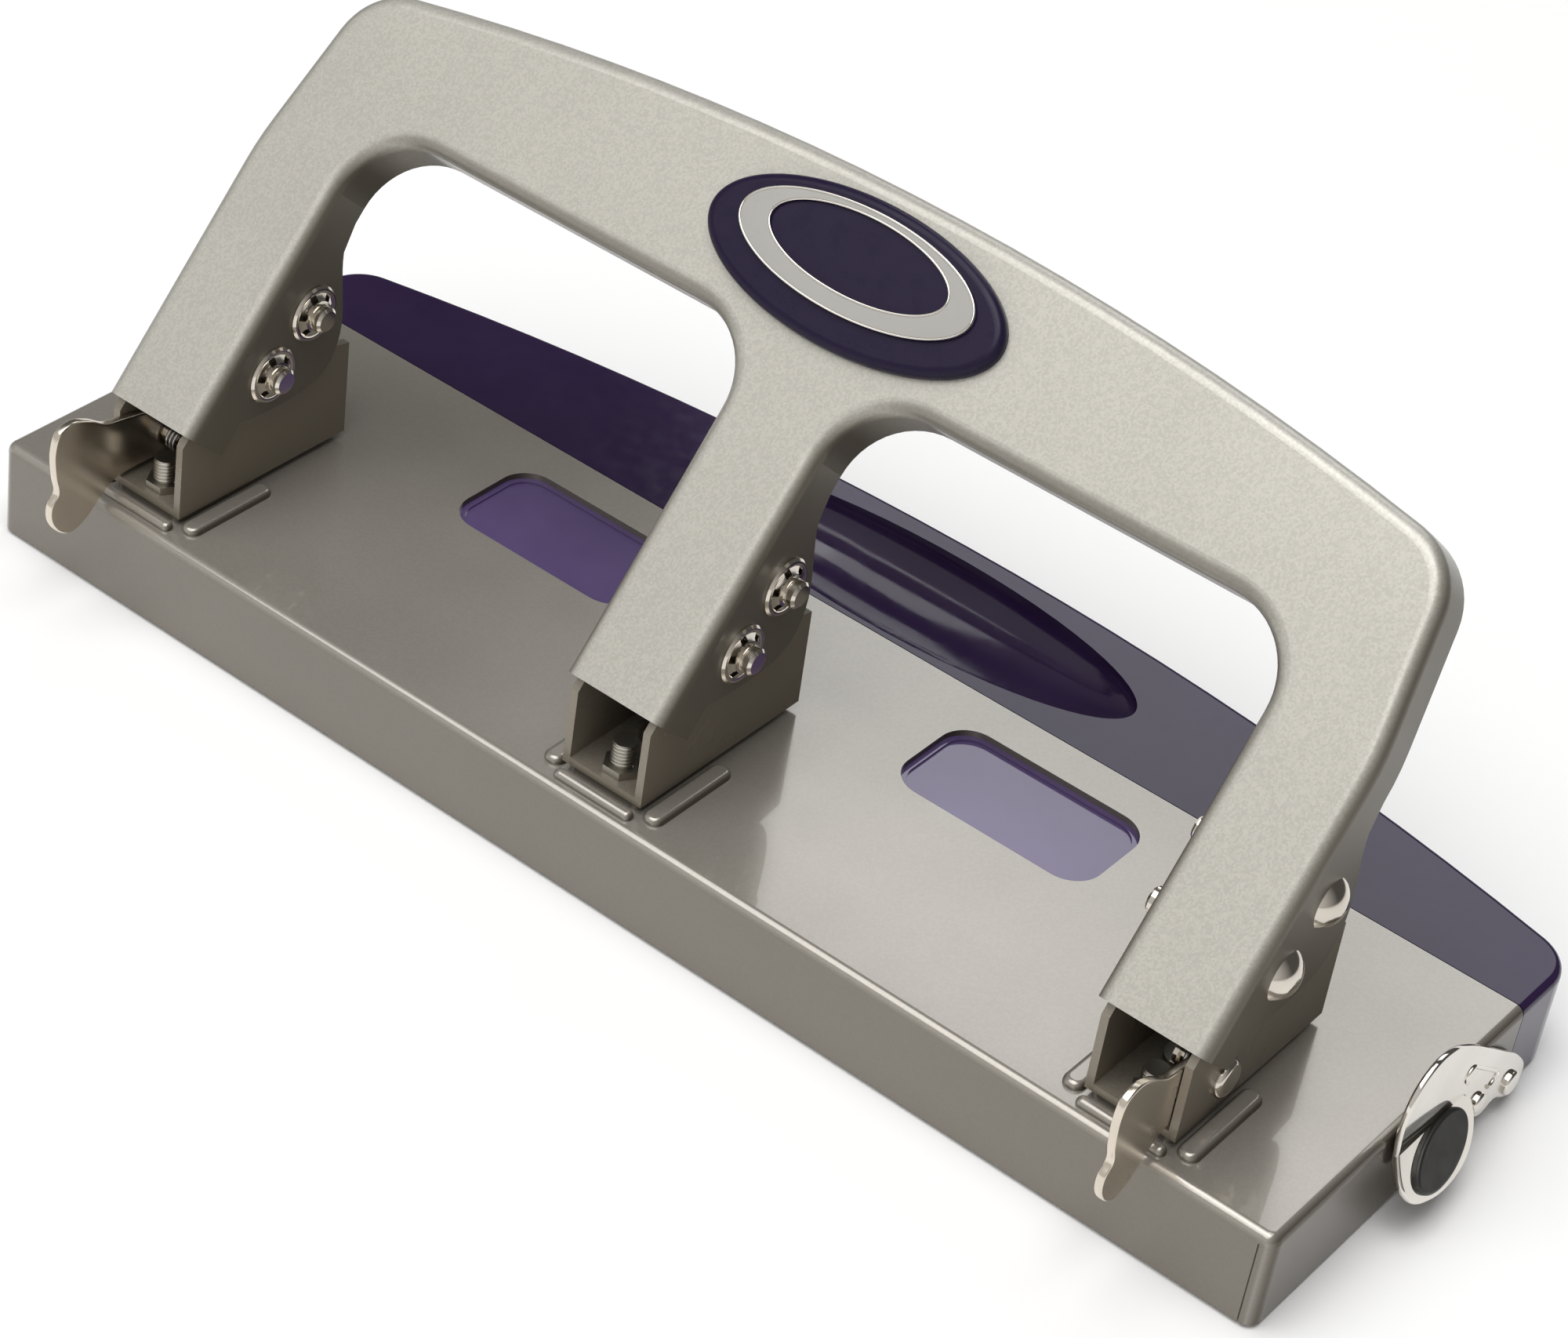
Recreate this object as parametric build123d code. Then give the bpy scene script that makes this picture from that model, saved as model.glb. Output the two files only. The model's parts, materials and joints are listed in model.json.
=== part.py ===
from build123d import *
import os
from math import cos, sin, radians

# Three-hole desk punch. Millimetres. X runs along the punch, +Y is the side the
# paper comes in from, Z is up. The origin is on the desk, under the middle of
# the steel base.

os.makedirs("parts", exist_ok=True)

# ---- driving dimensions -------------------------------------------------
HEAD_PITCH = 107.95                 # 4.25 in between neighbouring holes
HEADS = {"left": -HEAD_PITCH, "middle": 0.0, "right": HEAD_PITCH}
OUTER_HEADS = {"left": -1, "right": 1}

BASE_LENGTH = 278.0
BASE_DEPTH = 75.7
BASE_SHEET = 1.2
PAD_GAP = 0.8                       # rubber pad below the edge of the base
PLATE_Z = PAD_GAP + 18.7            # top of the steel plate
HALF = BASE_LENGTH / 2
FRONT = -BASE_DEPTH / 2             # edge of the base away from the paper
REAR = BASE_DEPTH / 2
BASE_BEND = 1.8                     # outside radius of the bends in the base
BASE_CORNER = 2.4                   # outside radius of its upright corners
BEND = 2.75                         # outside radius of the bends in the handle

PAPER_GAP = 1.6
STOP_Y = FRONT + 27.0               # paper stop
PUNCH_Y = FRONT + 37.0
PUNCH_RADIUS = 3.45
DIE_CLEARANCE = 0.05

HEAD_HALF = 8.6
HEAD_SHEET = 1.5
HEAD_FLOOR = PLATE_Z + PAPER_GAP
HEAD_TOP = HEAD_FLOOR + HEAD_SHEET
HEAD_WALL_TOP = PAD_GAP + 40.0

PIVOT = (FRONT + 25.0, PAD_GAP + 43.8)
DRIVE = (FRONT + 34.8, PAD_GAP + 52.7)
PIN_RADIUS = 2.5
RUN_FIT = 0.06

FACE_TILT = 49.0                    # slope of the handle face
FACE_FOOT = (FRONT + 5.0, PAD_GAP + 38.8)
HANDLE_SHEET = 1.2
LEG_HALF = 10.45
OUTER_LEG_IN = 97.6
FLANGE = 11.0
BAR_FOOT = 64.5                     # window top, measured up the face

FLOOR_SHEET = 1.0
POST_RADIUS = 3.4
SCREW_RADIUS = 1.5
SCREW_HEAD = 3.0
FLOOR_POSTS = [(-126, FRONT + 12), (126, FRONT + 12), (-131.5, FRONT + 66), (131.5, FRONT + 66)]


# ---- small helpers ------------------------------------------------------
def block(x0, x1, y0, y1, z0, z1):
    """Box between two corners."""
    return Pos((x0 + x1) / 2, (y0 + y1) / 2, (z0 + z1) / 2) * Box(x1 - x0, y1 - y0, z1 - z0)


def post(x, y, z0, z1, radius):
    """Upright cylinder."""
    return Pos(x, y, (z0 + z1) / 2) * Cylinder(radius, z1 - z0)


def bar(y, z, x0, x1, radius):
    """Cylinder along X."""
    return Pos((x0 + x1) / 2, y, z) * Rot(0, 90, 0) * Cylinder(radius, abs(x1 - x0))


def tube(x, y, z0, z1, outer, inner):
    """Upright ring."""
    return post(x, y, z0, z1, outer) - post(x, y, z0 - 1, z1 + 1, inner)


def side_plate(points, x0, x1, corner=0.0):
    """Plate square to X, cut to an outline in (Y, Z)."""
    face = make_face(Polyline(*points, close=True))
    if corner:
        face = fillet(face.vertices(), corner)
    return extrude(Plane.YZ.offset(min(x0, x1)) * face, abs(x1 - x0))


def rounded_prism(x0, x1, y0, y1, z0, z1, corner):
    """Upright prism with rounded corners."""
    face = Pos((x0 + x1) / 2, (y0 + y1) / 2) * RectangleRounded(x1 - x0, y1 - y0, corner)
    return extrude(Pos(0, 0, z0) * face, z1 - z0)


def write(shape, name):
    export_step(shape, f"parts/{name}.step")


# ---- base ---------------------------------------------------------------
def base_shell(inset, bottom, rear):
    """The base as a block with its bends rounded, inset by a sheet thickness."""
    body = block(-HALF + inset, HALF - inset, FRONT + inset, rear, bottom, PLATE_Z - inset)
    upright = body.edges().filter_by(Axis.Z).group_by(Axis.Y)[0]
    body = fillet(upright, BASE_CORNER - inset)
    rim = [e for e in body.faces().sort_by(Axis.Z)[-1].edges() if e.center().Y < rear - 0.01]
    return fillet(rim, BASE_BEND - inset)


WINDOW_X = (30.5, 71.0)
WINDOW_Y = (FRONT + 45.0, FRONT + 67.0)
WINDOW_CORNER_RADIUS = 6.0
PANEL_LAP = 2.5                     # the panels reach this far past their windows
PANEL_THICKNESS = 1.4
PANEL_CORNER = 5.0
PANEL_RIM = 3.6
PANEL_RECESS = 0.4
TONGUE_Y = (FRONT + 48.0, FRONT + 60.0)
TONGUE_Z = (PAD_GAP + 13.6, PAD_GAP + 14.8)
STUD_OFFSET = 0.8
STUD_Y = FRONT + 9.5
RIVET_Y = FRONT + 20.5
DIE_RADIUS = 5.5
PAD_HALF = 7.9
BEAD_HEIGHT = 1.3
BEAD_ROUND = 1.1
BEAD_ROOT = 0.6                     # the ridges start this far below the top of the plate
SIDE_BEAD = (8.9, 12.9)             # from the middle of a head, across
SEAM_X = HALF - 2.6
STUD_RADIUS = 2.1
STUD_HEIGHT = 6.2
STUD_HEAD = 3.0
RIVET_HEAD = 3.6


def bead(x0, x1, y0, y1):
    """Pressed ridge with round ends on the plate."""
    width = min(x1 - x0, y1 - y0)
    ridge = rounded_prism(x0, x1, y0, y1, PLATE_Z - BEAD_ROOT, PLATE_Z + BEAD_HEIGHT, width / 2 - 0.05)
    return fillet(ridge.edges().group_by(Axis.Z)[-1], BEAD_ROUND)


def base_cover():
    """Pressed steel cover, open below and along the drawer side."""
    cover = base_shell(0, PAD_GAP, REAR) - base_shell(BASE_SHEET, PAD_GAP - 1, REAR + 1)
    for x in HEADS.values():
        pad = rounded_prism(x - PAD_HALF, x + PAD_HALF, FRONT + 5.6, STOP_Y, PLATE_Z - 1, HEAD_FLOOR, 2)
        pocket = block(x - PAD_HALF + 1.6, x + PAD_HALF - 1.6, FRONT + 6.4, STOP_Y - 1.6,
                       PLATE_Z - 4, HEAD_FLOOR - BASE_SHEET)
        cover = cover + pad - pocket
        for side in (-1, 1):
            x0, x1 = sorted(x + side * reach for reach in SIDE_BEAD)
            cover += bead(x0, x1, FRONT + 4.6, FRONT + 25.6)
        cover += bead(x - 8.4, x + 8.4, FRONT + 2.3, FRONT + 4.8)
        cover -= post(x, PUNCH_Y, PLATE_Z - 4, PLATE_Z + 1, DIE_RADIUS)
        cover -= post(x + STUD_OFFSET, STUD_Y, PLATE_Z - 4, PLATE_Z + 4, STUD_RADIUS)
        cover -= post(x, RIVET_Y, PLATE_Z - 4, PLATE_Z + 4, STUD_RADIUS)
    for side in (-1, 1):
        x0, x1 = sorted((side * WINDOW_X[0], side * WINDOW_X[1]))
        cover -= rounded_prism(x0, x1, *WINDOW_Y, PLATE_Z - 4, PLATE_Z + 1, WINDOW_CORNER_RADIUS)
    cover -= block(HALF - 3, HALF + 1, TONGUE_Y[0] - 0.4, TONGUE_Y[1] + 0.4, TONGUE_Z[0] - 0.4, TONGUE_Z[1] + 0.4)
    return cover - block(SEAM_X - 0.15, SEAM_X + 0.15, FRONT - 1, FRONT + 0.3, 0, PLATE_Z - BASE_BEND)


def base_floor():
    """Bottom sheet inside the flanges."""
    gap = BASE_SHEET + 0.2
    floor = rounded_prism(-HALF + gap, HALF - gap, FRONT + gap, REAR - 0.8, PAD_GAP, PAD_GAP + FLOOR_SHEET, 3)
    for x, y in FLOOR_POSTS:
        floor -= post(x, y, 0, 3, SCREW_HEAD + 0.1)
    return floor


def rubber_base_pad():
    """Thin non-slip pad the punch stands on."""
    pad = rounded_prism(-HALF + 4, HALF - 4, FRONT + 2.5, REAR - 2.5, 0, PAD_GAP, 6)
    for x, y in FLOOR_POSTS:
        pad -= post(x, y, -1, 2, SCREW_HEAD + 1.2)
    return pad


def floor_posts():
    """Posts under the plate that the floor is screwed to."""
    return Compound(children=[
        post(x, y, PAD_GAP + FLOOR_SHEET, PLATE_Z - BASE_SHEET, POST_RADIUS)
        - post(x, y, PAD_GAP, PAD_GAP + 11, SCREW_RADIUS + 0.05)
        for x, y in FLOOR_POSTS])


def floor_screws():
    """Slotted screws, with their heads in holes in the floor."""
    screws = []
    for x, y in FLOOR_POSTS:
        slot = block(x - 4, x + 4, y - 0.4, y + 0.4, PAD_GAP - 1, PAD_GAP + 0.2)
        head = post(x, y, PAD_GAP - 0.4, PAD_GAP + FLOOR_SHEET, SCREW_HEAD) - slot
        screws.append(head + post(x, y, PAD_GAP + 0.9, PAD_GAP + 9, SCREW_RADIUS))
    return Compound(children=screws)


def window_panel(side):
    """See-through panel glued under the plate."""
    x0, x1 = sorted((side * (WINDOW_X[0] - PANEL_LAP), side * (WINDOW_X[1] + PANEL_LAP)))
    y0, y1 = WINDOW_Y[0] - PANEL_LAP, WINDOW_Y[1] + PANEL_LAP
    top = PLATE_Z - BASE_SHEET
    panel = rounded_prism(x0, x1, y0, y1, top - PANEL_THICKNESS, top, PANEL_CORNER)
    recess = rounded_prism(x0 + PANEL_RIM, x1 - PANEL_RIM, y0 + PANEL_RIM, y1 - PANEL_RIM,
                           top - PANEL_RECESS, top + 1, PANEL_CORNER)
    return panel - recess


# ---- heads --------------------------------------------------------------
LUG_RADIUS = 9.6                    # the walls stay this near the pivot, inside the turning handle


def from_pivot(angle):
    return (PIVOT[0] + LUG_RADIUS * cos(radians(angle)), PIVOT[1] + LUG_RADIUS * sin(radians(angle)))


def wall_outline():
    """Side view of a channel wall, up to the lug round the pivot."""
    front = Polyline((FRONT + 48.0, HEAD_FLOOR), (FRONT + 5.3, HEAD_FLOOR), (FRONT + 5.3, PAD_GAP + 35.6),
                     from_pivot(90 + FACE_TILT))
    lug = ThreePointArc(from_pivot(90 + FACE_TILT), from_pivot(90), from_pivot(42))
    rear = Polyline(from_pivot(42), (FRONT + 34.2, PAD_GAP + 45.5), (FRONT + 36.5, PAD_GAP + 42.3),
                    (FRONT + 47.5, HEAD_WALL_TOP), (FRONT + 48.0, HEAD_FLOOR))
    return make_face(Wire([*front.edges(), lug, *rear.edges()]))


def head_housing(x):
    """Bent U channel: a floor and two walls that carry the pins."""
    walls = extrude(Plane.YZ.offset(-HEAD_HALF) * wall_outline(), 2 * HEAD_HALF)
    hollow = block(-HEAD_HALF + HEAD_SHEET, HEAD_HALF - HEAD_SHEET, FRONT, FRONT + 60, HEAD_TOP, HEAD_TOP + 60)
    head = walls - hollow
    head -= bar(*PIVOT, -20, 20, PIN_RADIUS + RUN_FIT)
    head -= post(STUD_OFFSET, STUD_Y, HEAD_FLOOR - 1, HEAD_TOP + 1, STUD_RADIUS)
    head -= post(0, RIVET_Y, HEAD_FLOOR - 1, HEAD_TOP + 1, STUD_RADIUS)
    head -= post(0, PUNCH_Y, HEAD_FLOOR - 1, HEAD_TOP + 1, PUNCH_RADIUS + DIE_CLEARANCE)
    side = (x > 0) - (x < 0)
    if side:
        head -= bar(*LOCK_PIVOT, side * (HEAD_HALF - HEAD_SHEET - 1), side * (HEAD_HALF + 1), LOCK_RIVET)
    return Pos(x, 0, 0) * head


def guide_bridge(x):
    """Bent bracket across the channel that guides the top of the punch."""
    inside = HEAD_HALF - HEAD_SHEET
    y0, y1 = PUNCH_Y - BRIDGE_REACH, PUNCH_Y + BRIDGE_REACH
    bridge = block(-inside, inside, y0, y1, BRIDGE_Z - BRIDGE_TAB, BRIDGE_Z)
    bridge -= block(-inside + 1.2, inside - 1.2, y0 - 1, y1 + 1, BRIDGE_Z - 7, BRIDGE_Z - BRIDGE_SHEET)
    bridge -= post(0, PUNCH_Y, BRIDGE_Z - 3, BRIDGE_Z + 1, PUNCH_RADIUS + DIE_CLEARANCE)
    return Pos(x, 0, 0) * bridge


def hex_prism(x, y, z0, z1, flats):
    """Upright hexagon, sized across its flats."""
    return extrude(Pos(x, y, z0) * RegularPolygon(flats / 2, 6, major_radius=False), z1 - z0)


def head_studs():
    """Studs that hold each channel to its pad, with their heads under the pad."""
    under = HEAD_FLOOR - BASE_SHEET
    studs = []
    for x in HEADS.values():
        stud = post(x + STUD_OFFSET, STUD_Y, under, HEAD_TOP + STUD_HEIGHT, STUD_RADIUS - 0.05)
        studs.append(stud + post(x + STUD_OFFSET, STUD_Y, under - 2.0, under, STUD_HEAD))
    return Compound(children=studs)


def head_nuts():
    """Nuts on the studs."""
    nuts = []
    for x in HEADS.values():
        nut = hex_prism(x + STUD_OFFSET, STUD_Y, HEAD_TOP, HEAD_TOP + 1.6, 6.2)
        nuts.append(nut - post(x + STUD_OFFSET, STUD_Y, HEAD_TOP - 1, HEAD_TOP + 5, STUD_RADIUS))
    return Compound(children=nuts)


def head_rivets():
    """Second fixing of each channel."""
    under = HEAD_FLOOR - BASE_SHEET
    rivets = []
    for x in HEADS.values():
        rivet = post(x, RIVET_Y, under - 1.2, under, RIVET_HEAD)
        rivet += post(x, RIVET_Y, under, HEAD_TOP, STUD_RADIUS - 0.05)
        rivets.append(rivet + post(x, RIVET_Y, HEAD_TOP, HEAD_TOP + 1.3, RIVET_HEAD))
    return Compound(children=rivets)


# ---- punches ------------------------------------------------------------
BRIDGE_Z = PAD_GAP + 29.0
BRIDGE_REACH = 6.5
BRIDGE_TAB = 5.5
BRIDGE_SHEET = 1.5
PUNCH_TOP = DRIVE[1] - PIN_RADIUS - 0.3
PUNCH_TIP = HEAD_FLOOR + 0.3
CLIP_Z = PUNCH_TOP - 3.6
CLIP_THICKNESS = 1.0
GROOVE_RADIUS = PUNCH_RADIUS - 0.6
DIE_HEIGHT = 4.2
DIE_LIP = 1.6
NOTCH_RADIUS = 1.6                  # hollow ground across the cutting end
COLLAR_RADIUS = 5.6
SPRING_RADIUS = 5.3


def die(x):
    """Hardened die bush, flush with the plate, with a lip under it."""
    bush = post(x, PUNCH_Y, PLATE_Z - DIE_HEIGHT, PLATE_Z, DIE_RADIUS)
    bush += post(x, PUNCH_Y, PLATE_Z - DIE_HEIGHT, PLATE_Z - BASE_SHEET, DIE_RADIUS + DIE_LIP)
    return bush - post(x, PUNCH_Y, PLATE_Z - 6, PLATE_Z + 1, PUNCH_RADIUS + DIE_CLEARANCE)


def punch_pin(x):
    """Hollow-ground punch with a groove for its clip."""
    pin = post(x, PUNCH_Y, PUNCH_TIP, PUNCH_TOP, PUNCH_RADIUS)
    pin = chamfer(pin.edges().group_by(Axis.Z)[-1], 0.6)
    pin -= tube(x, PUNCH_Y, CLIP_Z, CLIP_Z + CLIP_THICKNESS, PUNCH_RADIUS + 1, GROOVE_RADIUS)
    notch = Pos(x, PUNCH_Y, PUNCH_TIP) * Rot(0, 90, 0) * Cylinder(NOTCH_RADIUS, 20)
    return pin - notch


def spring_collar(x):
    """Clip in the punch groove that the spring pushes on."""
    return tube(x, PUNCH_Y, CLIP_Z, CLIP_Z + CLIP_THICKNESS, COLLAR_RADIUS, GROOVE_RADIUS)


def punch_spring(x):
    """Space of the return spring."""
    return tube(x, PUNCH_Y, BRIDGE_Z, CLIP_Z, SPRING_RADIUS, PUNCH_RADIUS + 0.5)


# ---- handle -------------------------------------------------------------
FACE = Plane(origin=(0, *FACE_FOOT), x_dir=(1, 0, 0),
             z_dir=(0, -sin(radians(FACE_TILT)), cos(radians(FACE_TILT))))
WINDOW_CORNER = 14.0
LEG_BEND = 52.0                     # the outer edges lean in from here
SHOULDER = (113.4, 85.2)
SHOULDER_RADIUS = 13.0
CROWN = 96.4
FOOT_RUN = 30.0                     # the legs are drawn this far past their feet, then trimmed


def handle_blank():
    """Outline of the trident in the face plane: cross bar with a crown, and three legs."""
    outer = HEAD_PITCH + LEG_HALF
    crown = ThreePointArc((SHOULDER[0], SHOULDER[1]), (0, CROWN), (-SHOULDER[0], SHOULDER[1]))
    legs = Polyline((-SHOULDER[0], SHOULDER[1]), (-outer, LEG_BEND), (-outer, -FOOT_RUN),
                    (outer, -FOOT_RUN), (outer, LEG_BEND), SHOULDER)
    blank = make_face(Wire([crown, *legs.edges()]))
    rows = blank.vertices().group_by(Axis.Y)
    blank = fillet(rows[1], 60.0)
    blank = fillet(blank.vertices().group_by(Axis.Y)[-1], SHOULDER_RADIUS)
    for side in (-1, 1):
        width = HEAD_PITCH - 2 * LEG_HALF
        height = BAR_FOOT + FOOT_RUN + 10
        hole = Pos(side * HEAD_PITCH / 2, BAR_FOOT - height / 2) * Rectangle(width, height)
        blank -= fillet(hole.vertices().group_by(Axis.Y)[-1], WINDOW_CORNER)
    return blank


def face_point(s, depth=0.0):
    """(Y, Z) of a point up the face by s and behind it by depth."""
    tilt = radians(FACE_TILT)
    return (FACE_FOOT[0] + s * cos(tilt) + depth * sin(tilt), FACE_FOOT[1] + s * sin(tilt) - depth * cos(tilt))


EAR_TOP = LEG_BEND - 4.5


def ear_outline():
    """Side view of the ear that hangs from each side of a leg."""
    top = Polyline(face_point(0), face_point(EAR_TOP), face_point(EAR_TOP, FLANGE), (FRONT + 42.0, PAD_GAP + 62.5))
    belly = Spline((FRONT + 42.0, PAD_GAP + 62.5), (FRONT + 42.7, PAD_GAP + 52.0), (FRONT + 42.4, PAD_GAP + 44.0),
                   (FRONT + 39.0, PAD_GAP + 38.4), (FRONT + 32.5, PAD_GAP + 36.3), (FRONT + 20.0, PAD_GAP + 36.4),
                   face_point(0, 2.0))
    return make_face(Wire([*top.edges(), belly, Line(face_point(0, 2.0), face_point(0))]))


def handle():
    """One pressed trident: face, turned-down flanges and an ear each side of each leg."""
    blank = handle_blank()
    outer = extrude(FACE * blank, -FLANGE)
    rim = [e for e in outer.edges() if abs(FACE.to_local_coords(e.center()).Z) < 0.01]
    rim = [e for e in rim if FACE.to_local_coords(e.center()).Y > 0.5 - FOOT_RUN]
    outer = fillet(rim, BEND)
    inner = extrude(FACE.offset(-HANDLE_SHEET) * offset(blank, -HANDLE_SHEET), -FLANGE)
    shell = outer - inner
    shell -= side_plate([
        (FRONT - 40, PAD_GAP + 38.2), (FRONT - 40, PAD_GAP - 10), (FRONT + 60, PAD_GAP - 10),
        (FRONT + 60, PAD_GAP + 15), face_point(0, 30), face_point(0, 0)], -HALF, HALF)
    bend_side = extrude(FACE.offset(0.01 - BEND) * Rectangle(3 * HALF, 3 * HALF), 40)
    for x in HEADS.values():
        for side in (-1, 1):
            start = min(x + side * LEG_HALF, x + side * (LEG_HALF - HANDLE_SHEET))
            shell += extrude(Plane.YZ.offset(start) * ear_outline(), HANDLE_SHEET) - bend_side
    for y, z in (PIVOT, DRIVE):
        shell -= bar(y, z, -HALF, HALF, PIN_RADIUS)
    return shell


BADGE_S = 79.9                      # middle of the badge, measured up the face
BADGE_THICKNESS = 2.4
BADGE_HALF = (30.0, 13.0)
RING_S = 81.6
RING_HALF = (23.7, 8.9)
CENTRE_S = RING_S + 1.0             # the centre disc sits high in the ring, which is thin above it
CENTRE_HALF = (18.2, 6.8)
BADGE_RECESS = 0.6
RING_THICKNESS = 1.3
CENTRE_THICKNESS = 0.8


def badge_disc(s, half, depth, thickness):
    """Oval disc parallel to the handle face."""
    disc = Pos(0, s) * Ellipse(*half)
    return extrude(FACE.offset(depth) * disc, thickness)


def badge_base():
    base = badge_disc(BADGE_S, BADGE_HALF, 0, BADGE_THICKNESS)
    base = fillet(base.edges().sort_by(lambda e: FACE.to_local_coords(e.center()).Z)[-1], 1.6)
    return base - badge_disc(RING_S, RING_HALF, BADGE_THICKNESS - BADGE_RECESS, 2)


def badge_ring():
    ring = badge_disc(RING_S, RING_HALF, BADGE_THICKNESS - BADGE_RECESS, RING_THICKNESS)
    return ring - badge_disc(CENTRE_S, CENTRE_HALF, BADGE_THICKNESS - 1, 3)


def badge_centre():
    return badge_disc(CENTRE_S, CENTRE_HALF, BADGE_THICKNESS - BADGE_RECESS, CENTRE_THICKNESS)


# ---- pins through the legs ----------------------------------------------
NUT_SIDE = {"left": 1, "middle": 1, "right": -1}
NUT_RADIUS = 5.5
NUT_SHEET = 0.8
NUT_SLIT = (0.7, 8.4)               # width and length of each slit across a nut
PIN_TIP = 3.8
DOME_RADIUS = 5.2


def leg_pin(name, place):
    """Pin with a dome head on one side of the leg and a bare tip on the other."""
    y, z = place
    pin = bar(y, z, -LEG_HALF, LEG_HALF + PIN_TIP, PIN_RADIUS)
    pin = chamfer(pin.edges().sort_by(Axis.X)[-1], 0.5)
    dome = Pos(DOME_RADIUS / 2 - LEG_HALF, y, z) * Sphere(DOME_RADIUS)
    dome -= block(-LEG_HALF, LEG_HALF, y - 9, y + 9, z - 9, z + 9)
    pin += dome
    if NUT_SIDE[name] < 0:
        pin = mirror(pin, Plane.YZ)
    return Pos(HEADS[name], 0, 0) * pin


def push_nuts(place):
    """Star push nuts on the bare ends of the pins."""
    nuts = []
    for name, x in HEADS.items():
        start = x + NUT_SIDE[name] * LEG_HALF
        end = start + NUT_SIDE[name] * NUT_SHEET
        nut = bar(*place, start, end, NUT_RADIUS) - bar(*place, start - 2, start + 2, PIN_RADIUS)
        for angle in range(0, 180, 60):
            slit = Pos((start + end) / 2, *place) * Rot(angle, 0, 0) * Box(2, *NUT_SLIT)
            nut -= slit
        nuts.append(nut)
    return Compound(children=nuts)


# ---- hold-down levers on the outer heads --------------------------------
LOCK_PIVOT = (FRONT + 17.0, PAD_GAP + 26.5)
LOCK_RIVET = 2.0
LOCK_HEAD = (3.4, 1.4)              # radius and height of the rivet's outer head
LOCK_HOLE = LOCK_RIVET + RUN_FIT
LOCK_SHEET = 1.5
LOCK_INSET = HEAD_HALF - HEAD_SHEET - 0.15      # outer face of the lever, from the middle of the head
LOCK_OUTLINE = [
    (5.0, 34.9), (0.5, 35.8), (-3.5, 38.2), (-7.5, 39.6), (-10.8, 38.6), (-12.0, 35.0), (-11.6, 29.5),
    (-10.9, 25.8), (-12.4, 23.6), (-12.4, 20.6), (-10.4, 17.4), (-7.6, 15.9), (-4.2, 16.9), (-1.0, 19.6),
    (2.6, 22.4), (8.0, 23.1), (13.0, 22.9), (17.0, 22.7), (20.6, 24.2), (21.4, 27.6), (19.0, 31.0), (13.0, 33.2)]


def lock_lever(name):
    """Flat lever whose curved tail hangs in front of the base."""
    x, side = HEADS[name], OUTER_HEADS[name]
    outline = [(FRONT + y, PAD_GAP + z) for y, z in LOCK_OUTLINE]
    face_x = x + side * LOCK_INSET
    profile = make_face(Wire(Spline(*outline, periodic=True)))
    lever = extrude(Plane.YZ.offset(min(face_x, face_x - side * LOCK_SHEET)) * profile, LOCK_SHEET)
    return lever - bar(*LOCK_PIVOT, face_x - 5, face_x + 5, LOCK_HOLE)


def lock_rivets():
    """Rivets that the levers turn on, with domed heads outside."""
    rivets = []
    for name, side in OUTER_HEADS.items():
        x = HEADS[name]
        wall = x + side * HEAD_HALF
        head = bar(*LOCK_PIVOT, wall, wall + side * LOCK_HEAD[1], LOCK_HEAD[0])
        head = fillet(head.edges().sort_by(Axis.X)[-1 if side > 0 else 0], LOCK_HEAD[1] - 0.3)
        rivet = bar(*LOCK_PIVOT, x + side * 1.2, wall, LOCK_RIVET) + head
        rivet += bar(*LOCK_PIVOT, x + side * 1.2, x + side * 0.4, 2.9)
        rivets.append(rivet)
    return Compound(children=rivets)


def lock_spring(name):
    """Space of the small torsion spring beside the lever."""
    x, side = HEADS[name], OUTER_HEADS[name]
    x0, x1 = x + side * 1.5, x + side * 4.9
    ring = bar(*LOCK_PIVOT, x0, x1, 2.8) - bar(*LOCK_PIVOT, x - 20, x + 20, LOCK_RIVET + 0.1)
    arm = bar(LOCK_PIVOT[0] + 4.0, LOCK_PIVOT[1] - 2.4, x0, x0 + side * 0.8, 0.4)
    lead = Pos(x0 + side * 0.4, LOCK_PIVOT[0] + 3.2, LOCK_PIVOT[1] - 2.4) * Rot(90, 0, 0) * Cylinder(0.4, 6.4)
    return ring + lead + arm


# ---- drawer -------------------------------------------------------------
DRAWER_WALL = 2.0
DRAWER_CORNER = 9.0
DRAWER_BACK = REAR + 0.2
DRAWER_BOTTOM = PAD_GAP + 0.4
PAN_HALF = 126.0
PAN_TOP = PAD_GAP + 12.5
PAN_BOTTOM = PAD_GAP + 1.4
PAN_FRONT = FRONT + 27.0
SCOOP = (0.0, FRONT + 91.3)
SCOOP_HALF = (50.0, 14.3, 11.0)


def drawer_front_outline():
    """Plan of the drawer front, bowed towards the paper side."""
    bow = ThreePointArc((HALF, FRONT + 93.1), (0, FRONT + 110.7), (-HALF, FRONT + 93.1))
    back = Polyline((-HALF, FRONT + 93.1), (-HALF, DRAWER_BACK), (HALF, DRAWER_BACK), (HALF, FRONT + 93.1))
    face = make_face(Wire([bow, *back.edges()]))
    return fillet(face.vertices().group_by(Axis.Y)[-1], DRAWER_CORNER)


def ellipsoid(grow):
    """The hollow of the finger scoop, grown on all sides."""
    a, b, c = (half + grow for half in SCOOP_HALF)
    return Pos(*SCOOP, PLATE_Z) * scale(Sphere(1), by=(a, b, c))


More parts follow.
